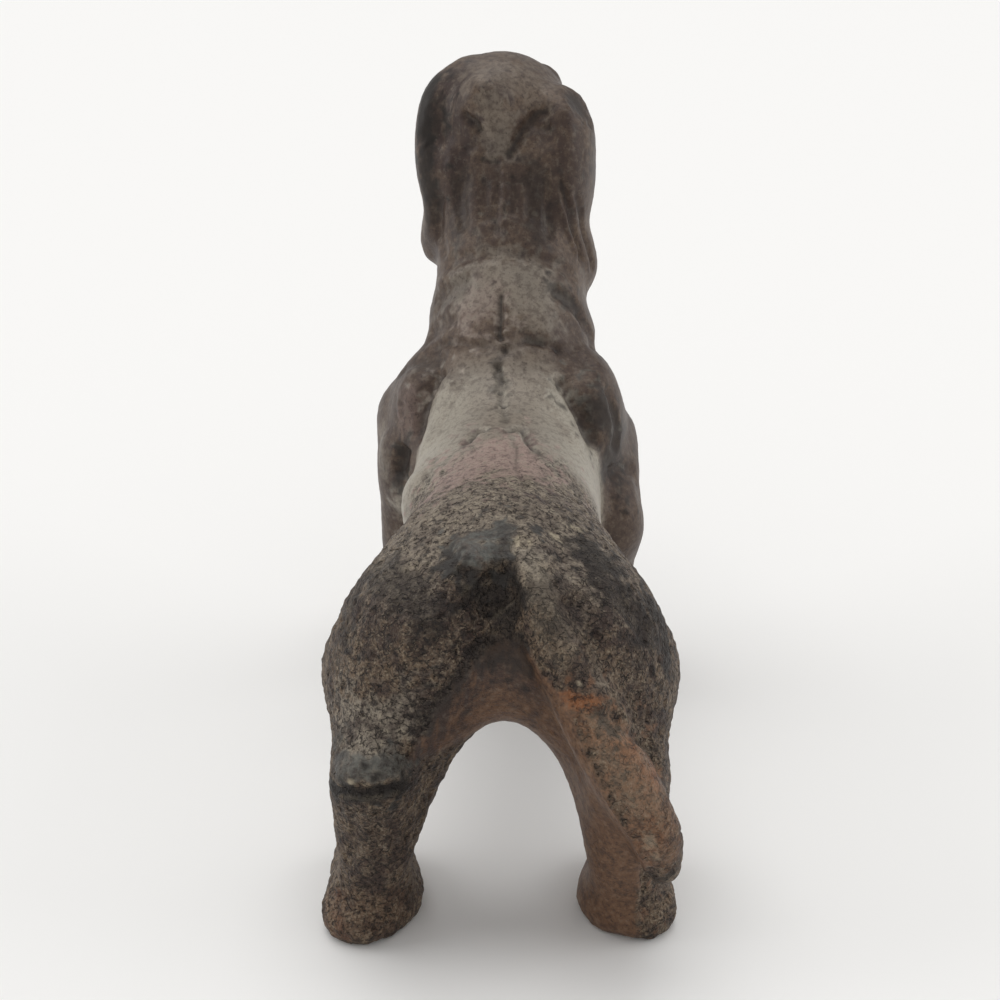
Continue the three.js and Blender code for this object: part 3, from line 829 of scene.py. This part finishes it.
def carve(skin, strokes, spots):
    """Carves the strokes and raises or sinks the spots where the view shows them."""
    for width, depth, line in strokes.values():
        skin.groove(skin.seen_line(line), width, depth)
    skin.look_again()
    for radius, height, (x, y) in spots.values():
        skin.swell(skin.seen(x, y), radius, height)
    skin.look_again()


def carve_edges(skin):
    """Steps the gritty skin up where it ends at the smooth inner faces of the hind legs."""
    skin.ledge(skin.seen_line(LEFT_INNER_EDGE), STEP_RISE, LEFT_STEP_FADE)
    skin.ledge(skin.seen_line(reversed(RIGHT_INNER_EDGE)), STEP_RISE, RIGHT_STEP_FADE)
    skin.look_again()


def carve_face(skin):
    """The eyes, the nose and the lips, plainly done."""
    for radius, height, (forward, out, up) in FACE_SPOTS.values():
        for side in (LEFT, RIGHT):
            skin.swell(skin.on_skin(head_spot(forward, side * out, up)), radius, height)
        skin.look_again()
    for width, depth, line in FACE_STROKES.values():
        for side in (LEFT, RIGHT):
            places = [head_spot(forward, side * out, up) for forward, out, up in line]
            skin.groove([skin.on_skin(place) for place in places], width, depth)
    for width, depth, line in FACE_MIDDLE_STROKES.values():
        skin.groove([skin.on_skin(head_spot(*spot)) for spot in line], width, depth)
    skin.look_again()


def roughen(skin, grit, grit_depth):
    """Raises the sand-cast grit and sinks its pits, and leaves a light unevenness everywhere."""
    lumps = lumpiness(skin.points, LUMP, LUMP_PLACE) * LUMP_SHARE
    lumps += lumpiness(skin.points, GRAVEL, GRAVEL_PLACE)
    waves = lumpiness(skin.points, WAVE, WAVE_PLACE)
    pits = smooth_step(*PIT_OPENS, lumpiness(skin.points, PIT, PIT_PLACE))
    height = grit * grit_depth * (lumps - pits * PIT_SHARE)
    height += (1 - grit) * lumps * BARE_LUMPS + waves * WAVES
    skin.push(np.arange(len(skin.points)), height)


def edge_at(skin, line, heights):
    """How far across and along an edge that the view shows is at some heights, and its lowest and highest."""
    edge = np.array([tuple(place) for place in skin.seen_line(line)])
    across, along, height = edge[np.argsort(edge[:, 2])].T
    return np.interp(heights, height, across), np.interp(heights, height, along), height[0], height[-1]


def inner_cover(skin):
    """Where the smooth inner faces of the hind legs are: between the gritty skin's two edges."""
    across, along, height = (skin.points + skin.ragged[:, None] * 0.4).T
    low, _, left_end, top = edge_at(skin, LEFT_INNER_EDGE, height)
    high, _, _, _ = edge_at(skin, RIGHT_INNER_EDGE, height)
    right_leg = smooth_step(0, 1, across)
    left_leg = smooth_step(left_end - 0.5, left_end + 1.5, height)
    between = smooth_step(-0.4, 0.4, across - low) * smooth_step(-0.3, 0.3, high - across)
    back = smooth_step(*INNER_FACES, along)
    return between * back * np.maximum(right_leg, left_leg) * smooth_step(0.0, 1.0, top - height)


def shoulder_cover(skin):
    """Where the shoulders and the arms are: in front of the flanks' ends, under the withers."""
    across, along, height = (skin.points + skin.ragged[:, None] * 0.2).T
    cover = np.zeros(len(skin.points))
    for side, line in ((LEFT, LEFT_FLANK_EDGE), (RIGHT, RIGHT_FLANK_EDGE)):
        edge, start, _, top = edge_at(skin, line, height)
        beyond = side * across - np.abs(edge)
        arm = smooth_step(0.0, 1.6, along - start) * smooth_step(3, 4.5, side * across)
        proud = smooth_step(0.8, 1.8, beyond) * smooth_step(-6, -4, along - start)
        outer = np.maximum(smooth_step(-1.5, 0.0, beyond), smooth_step(*ARMS_TO_LEGS, height))
        below = smooth_step(top + 4, top + 1, height)
        cover = np.maximum(cover, np.maximum(arm, proud) * outer * below)
    return cover


def finishes_of(skin):
    """How much of each finish, and of the painted shade and light, every point has, from 0 to 1."""
    points, facing = skin.points, skin.facing
    _, along, height = points.T
    cover = {name: np.zeros(len(points)) for name in FINISH_MARKS}
    for name, marks in FINISH_MARKS.items():
        for radius, strength, line in marks.values():
            laid = skin.spread_on(skin.seen_line(line), radius) * strength
            cover[name] = np.maximum(cover[name], laid)

    # The grit runs back from the loin, and hides under the smooth finishes
    inner = inner_cover(skin)
    loin = skin.seen(*LOIN).y
    down = smooth_step(*BACK_TO_SIDES, height)
    uneven = lumpiness(points, BORDER, BORDER_PLACE) * BORDER_WANDER + skin.ragged
    hind = smooth_step(0.0, 6.0, loin - 5 * down - along + uneven)
    smooth = inner * INNER_SMOOTHNESS
    for name, share in SMOOTH_FINISHES.items():
        smooth = np.maximum(smooth, cover[name] * share)
    cover["grit"] = hind * (1 - smooth)
    # Where the grit faces up it counts as worn: partly worn flat, partly painted light from above
    cover["worn"] = hind * smooth_step(*LEVEL, skin.averaged(facing[:, 2], LEVEL_ROUNDS))
    cover["leather"] = np.maximum(cover["leather"], inner * INNER_LEATHER)

    # The flanks are rubbed between the grit and the shoulders and carry painted side light, and the shoulders
    # are a little darker
    shoulders = shoulder_cover(skin)
    withers = skin.seen(*WITHERS).y
    trunk = smooth_step(-12.0, 3.0, along - loin + 6 * down + uneven)
    trunk *= smooth_step(withers + 3, withers - 6, along) * smooth_step(*BELLY_TO_FLANKS, height + uneven)
    # Painted side light: the flanks are paler the more they face sideways
    sides = smooth_step(0.1, 0.8, np.abs(facing[:, 0])) * 0.5 + 0.5
    cover["rubbed_and_lit"] = np.maximum(cover["rubbed_and_lit"], trunk * sides * (1 - shoulders))
    cover["umber_and_shade"] = np.maximum(cover["umber_and_shade"], shoulders * 0.3)

    # Painted shade darkens the hollows and the carved grooves, with a little dirt of the patina, and edges
    # are worn
    curve = dots(skin.averaged(points, EDGE_ROUNDS) - points, facing)
    broad = dots(skin.averaged(points, HOLLOW_ROUNDS) - points, facing)
    hollow = np.maximum(smooth_step(*HOLLOW, broad + curve * 2), smooth_step(*CARVED_IN, -skin.moved))
    # Painted shade: the deeper a hollow or a carved groove, the darker it is laid
    cover["shade_and_soot"] = np.maximum(cover["shade_and_soot"], hollow * 0.75)
    cover["wear"] = np.maximum(smooth_step(*EDGE, -curve), smooth_step(*RAISED, skin.moved) * 0.6)
    return cover


def add_finish(skin, cover):
    """Keeps the finishes, with the painted shade and light, on the mesh, for the iron's material to read."""
    for name, values in cover.items():
        layer = skin.mesh.attributes.new(name, "FLOAT", "POINT")
        layer.data.foreach_set("value", np.clip(values, 0, 1).astype(np.float32))


def thin_out(casting, most):
    """Merges the casting's flattest triangles until it has no more than the most it may have."""
    casting.data.calc_loop_triangles()
    fewer = casting.modifiers.new("Fewer triangles", "DECIMATE")
    fewer.ratio = min(1.0, most / len(casting.data.loop_triangles))
    thinned = as_shown(casting)
    casting.modifiers.clear()
    full = casting.data
    casting.data = thinned
    bpy.data.meshes.remove(full)
    thinned.name = casting.name


def keep_in_box(mesh):
    """Brings what stands proud of the plain solid's box back to it."""
    points = np.zeros(len(mesh.vertices) * 3)
    mesh.vertices.foreach_get("co", points)
    low, high = CAD_BOX
    mesh.vertices.foreach_set("co", np.clip(points.reshape(-1, 3), low, high).ravel())
    mesh.update()


def add_node(tree, kind, links=None, **settings):
    """Adds one node to a tree, with its settings and its inputs: a value, or an output of another node."""
    made = tree.nodes.new(kind)
    for name, value in settings.items():
        setattr(made, name, value)
    for name, value in (links or {}).items():
        if isinstance(value, bpy.types.NodeSocket):
            tree.links.new(value, made.inputs[name])
        else:
            made.inputs[name].default_value = value
    return made


def sand_cast_iron(colours, sizes):
    """Sand-cast iron under an old brown patina: dull oxide over grey metal, gritty where the sand left it.
    It gives the eye a dry, mottled brown of low sheen, dark in its pits and pale where it is rubbed. Its
    colour also holds painted shade in the hollows and on faces turned from the light, painted light on the
    flanks and the tops of the grit, and painted glints."""
    material = bpy.data.materials.new("sand_cast_iron")
    material.use_nodes = True
    tree = material.node_tree
    shader = tree.nodes["Principled BSDF"]
    place = add_node(tree, "ShaderNodeTexCoord").outputs["Object"]

    # What the colours and the relief are worked out from: the finishes on the mesh, and the patterns
    read = {}
    for name in (*FINISH_MARKS, "grit", "worn", "wear"):
        read[name] = add_node(tree, "ShaderNodeAttribute", attribute_name=name).outputs["Fac"]
    patterns = {
        "patches": (PATINA_PATCH * MM, 4.0, 0.6, EVEN),
        "blotches": (BLOTCH * MM, 4.0, 0.65, EVEN),
        "mottle": (MOTTLE * MM, 4.0, 0.7, EVEN),
        "grains": (sizes.grain, 2.0, 0.6, EVEN),
        "pits": (sizes.grain * GRAINS_TO_A_PIT, 2.0, 0.6, EVEN),
        "streaks": (STREAK * MM, 3.0, 0.6, STREAK_STRETCH),
    }
    for name, (size, detail, rough, stretch) in patterns.items():
        mapped = add_node(tree, "ShaderNodeMapping", {"Vector": place, "Scale": stretch}).outputs[0]
        links = {"Vector": mapped, "Scale": 1 / size, "Detail": detail, "Roughness": rough}
        read[name] = add_node(tree, "ShaderNodeTexNoise", links).outputs["Fac"]

    # Edges of the flat plates that the grit is cracked into, which wander
    links = {"Vector": place, "Scale": 1 / (CRACK_BEND * MM), "Detail": 2.0}
    bend = add_node(tree, "ShaderNodeTexNoise", links).outputs["Color"]
    links = {0: bend, 1: (CRACK_WANDER * MM,) * 3, 2: place}
    bent = add_node(tree, "ShaderNodeVectorMath", links, operation="MULTIPLY_ADD").outputs[0]
    flat = add_node(tree, "ShaderNodeMapping", {"Vector": bent, "Scale": PLATE_STRETCH}).outputs[0]
    links = {"Vector": flat, "Scale": 1 / (PLATE * MM)}
    plates = add_node(tree, "ShaderNodeTexVoronoi", links, feature="DISTANCE_TO_EDGE")
    read["plate edges"] = plates.outputs["Distance"]

    for name, (source, low, high, start, end) in FADES.items():
        links = {"Value": read[source], "From Min": low, "From Max": high, "To Min": start, "To Max": end}
        read[name] = add_node(tree, "ShaderNodeMapRange", links).outputs["Result"]
    for name, (most, factors) in COVERS.items():
        read[name] = most
        for factor in factors:
            links = {0: read[name], 1: read[factor]}
            read[name] = add_node(tree, "ShaderNodeMath", links, operation="MULTIPLY").outputs[0]

    colour = (*colours.brown, 1)
    for cover, laid in LAYERS:
        links = {"Factor": read[cover], MIX_BELOW: colour, MIX_ABOVE: (*getattr(colours, laid), 1)}
        colour = add_node(tree, "ShaderNodeMix", links, data_type="RGBA").outputs[MIX_RESULT]
    tree.links.new(colour, shader.inputs["Base Color"])

    # Iron oxide is dull, and duller where it is gritty. A little of the metal shines through.
    tree.links.new(read["dullness"], shader.inputs["Roughness"])
    shader.inputs["Metallic"].default_value = 0.15
    shader.inputs["Specular IOR Level"].default_value = 0.3

    links = {}
    for name, (strength, depth, sunk) in RELIEF.items():
        links.update({"Height": read[name], "Strength": strength, "Distance": depth * MM})
        links = {"Normal": add_node(tree, "ShaderNodeBump", links, invert=sunk).outputs["Normal"]}
    tree.links.new(links["Normal"], shader.inputs["Normal"])
    return material


class HOUND_OT_casting(bpy.types.Operator):
    """Carves the cast iron hound and gives it its finish"""

    bl_idname = "hound.casting"
    bl_label = "Cast Hound"

    def execute(self, context):
        sizes = context.scene.hound_sizes
        casting = bare_casting(sizes.mesh_step)
        skin = Skin(casting.data)
        skin.points = skin.averaged(skin.points, SMOOTHING_ROUNDS)
        skin.look_again()
        carve(skin, BACK_STROKES, {})
        carve(skin, RUMP_STROKES, TRUNK_SPOTS)
        carve(skin, LEG_STROKES, {})
        carve(skin, HEAD_STROKES, HEAD_SPOTS)
        carve_edges(skin)
        carve_face(skin)
        cover = finishes_of(skin)
        roughen(skin, cover["grit"], sizes.grit_depth / MM)
        skin.points[skin.points[:, 2] < SOLE, 2] = 0
        skin.look_again()
        add_finish(skin, cover)
        thin_out(casting, sizes.triangles)
        keep_in_box(casting.data)
        casting.data.materials.append(sand_cast_iron(context.scene.hound_colours, sizes))
        casting.data.shade_smooth()
        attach(casting, "root")
        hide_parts("hound")
        return {"FINISHED"}


def soft_light(name, way, spread, power):
    """A wide, far studio light that shines on everything from one way. Its spread is in degrees."""
    lamp = bpy.data.lights.new(name, "SUN")
    lamp.angle = math.radians(spread)
    lamp.energy = power
    light = add_object(name, lamp)
    light.location = way
    light.rotation_euler = Vector(way).to_track_quat("Z", "Y").to_euler()


class HOUND_OT_stage(bpy.types.Operator):
    """Sets the pale floor, the soft light and the camera of the studio view"""

    bl_idname = "hound.stage"
    bl_label = "Studio"

    def execute(self, context):
        scene = context.scene
        board = bmesh.new()
        bmesh.ops.create_grid(board, x_segments=1, y_segments=1, size=scene.hound_sizes.floor_width / 2)
        mesh = bpy.data.meshes.new("floor")
        board.to_mesh(mesh)
        board.free()
        floor = add_object("floor", mesh)
        # Matt white paper, which gives the eye a pale ground without any shine
        paper = bpy.data.materials.new("matt_paper")
        paper.use_nodes = True
        shader = paper.node_tree.nodes["Principled BSDF"]
        shader.inputs["Base Color"].default_value = (*scene.hound_colours.floor, 1)
        shader.inputs["Roughness"].default_value = 0.9
        floor.data.materials.append(paper)
        for name, (way, spread, power) in LAMPS.items():
            soft_light(name, way, spread, power)
        scene.world = bpy.data.worlds.new("pale_room")
        scene.world.use_nodes = True
        tree = scene.world.node_tree
        room = tree.nodes["Background"]
        room.inputs["Color"].default_value = (1, 1, 1, 1)
        seen = add_node(tree, "ShaderNodeLightPath").outputs["Is Camera Ray"]
        links = {"Value": seen, "To Min": ROOM_LIGHT, "To Max": ROOM_AS_SEEN}
        strength = add_node(tree, "ShaderNodeMapRange", links).outputs["Result"]
        tree.links.new(strength, room.inputs["Strength"])
        scene.view_settings.view_transform = "Standard"
        lens = bpy.data.cameras.new("studio_view")
        lens.lens = LENS
        lens.sensor_width = SENSOR_WIDTH
        lens.clip_start = 1 * MM
        lens.dof.use_dof = False
        camera = add_object("studio_view", lens)
        camera.location = VIEW_PLACE * MM
        camera.rotation_euler = (math.pi / 2 - VIEW_PITCH, 0, VIEW_YAW)
        scene.camera = camera
        return {"FINISHED"}


class HOUND_PT_panel(bpy.types.Panel):
    """The hound's sizes, colours and steps"""

    bl_idname = "HOUND_PT_panel"
    bl_label = "Cast Iron Hound"
    bl_space_type = "VIEW_3D"
    bl_region_type = "UI"
    bl_category = "Hound"

    def draw(self, context):
        for group in (context.scene.hound_sizes, context.scene.hound_colours):
            box = self.layout.box()
            for name in group.__annotations__:
                box.prop(group, name)
        self.layout.operator(HOUND_OT_casting.bl_idname)
        self.layout.operator(HOUND_OT_stage.bl_idname)


CLASSES = (HoundSizes, HoundColours, HOUND_OT_casting, HOUND_OT_stage, HOUND_PT_panel)


def register():
    """Adds the classes, and the sizes and colours of each scene."""
    for each in CLASSES:
        bpy.utils.register_class(each)
    bpy.types.Scene.hound_sizes = PointerProperty(type=HoundSizes)
    bpy.types.Scene.hound_colours = PointerProperty(type=HoundColours)


def unregister():
    """Takes them away again."""
    del bpy.types.Scene.hound_colours
    del bpy.types.Scene.hound_sizes
    for each in reversed(CLASSES):
        bpy.utils.unregister_class(each)


def main():
    """Makes the hound and its studio."""
    register()
    bpy.ops.hound.casting()
    bpy.ops.hound.stage()


if __name__ == "__main__":
    main()
